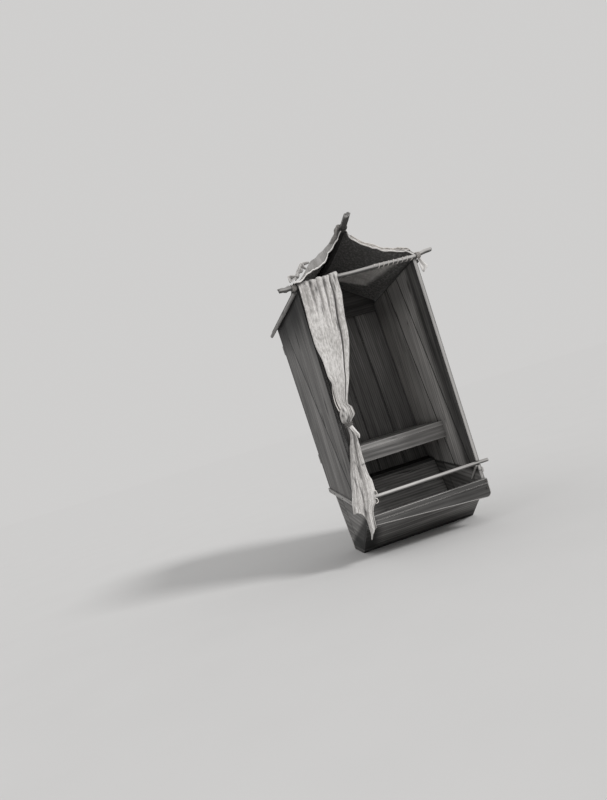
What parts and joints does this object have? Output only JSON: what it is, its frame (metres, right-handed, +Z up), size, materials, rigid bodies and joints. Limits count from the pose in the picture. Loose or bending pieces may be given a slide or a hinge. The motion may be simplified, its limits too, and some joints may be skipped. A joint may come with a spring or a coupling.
{
  "type": "sedan chair",
  "caption": "One-seat plank carrying chair with an open front, a hopper-shaped foot box, a cloth roof on poles, a tied curtain and a loose foot bar.",
  "frame": {"origin": "middle of the flat base of the foot box, on the floor", "axes": "+Z up, the open front faces -Y, +X to the right seen from the front"},
  "size_m": [0.76, 0.8971, 1.5389],
  "materials": {
    "plank_wood": "weathered dark planks, matte",
    "batten_wood": "weathered sawn battens, matte",
    "pole_wood": "barked round poles, matte",
    "stick_wood": "pale rubbed stick, satin",
    "roof_cloth": "coarse grey cloth, matte",
    "curtain_cloth": "off-white cotton, matte",
    "tie_cloth": "off-white cotton band, matte"
  },
  "bodies": {
    "chair": {"back_batten_lower": "batten_wood", "back_batten_upper": "batten_wood", "back_board_1": "plank_wood", "back_board_2": "plank_wood", "back_board_3": "plank_wood", "back_board_4": "plank_wood", "back_inner_rail": "batten_wood", "bar_brace_left": "stick_wood", "bar_brace_right": "stick_wood", "base_board": "plank_wood", "canopy_cloth": "roof_cloth", "curtain": "curtain_cloth", "curtain_tie": "tie_cloth", "eave_pole_left": "pole_wood", "eave_pole_right": "pole_wood", "foot_board": "plank_wood", "foot_box_back": "plank_wood", "foot_cheek_left": "plank_wood", "foot_cheek_left_rear": "plank_wood", "foot_cheek_right": "plank_wood", "foot_cheek_right_rear": "plank_wood", "foot_strip_left": "batten_wood", "foot_strip_right": "batten_wood", "front_board": "batten_wood", "front_pole": "pole_wood", "gable_board": "plank_wood", "gable_post": "batten_wood", "rear_floor": "plank_wood", "ridge_pole": "pole_wood", "seat_board_1": "plank_wood", "seat_board_2": "plank_wood", "seat_board_3": "plank_wood", "seat_cleat_left": "plank_wood", "seat_cleat_right": "plank_wood", "seat_rail": "batten_wood", "side_plank_left_1": "plank_wood", "side_plank_left_2": "plank_wood", "side_plank_right_1": "plank_wood", "side_plank_right_2": "plank_wood", "side_plank_right_3": "plank_wood", "toe_board": "plank_wood"},
    "bar": {"foot_bar": "stick_wood"}
  },
  "joints": [
    {"name": "foot_bar_slide", "type": "slide", "parent": "chair", "child": "bar", "axis": [1, 0, 0], "range_m": [0, 0.6]}
  ]
}
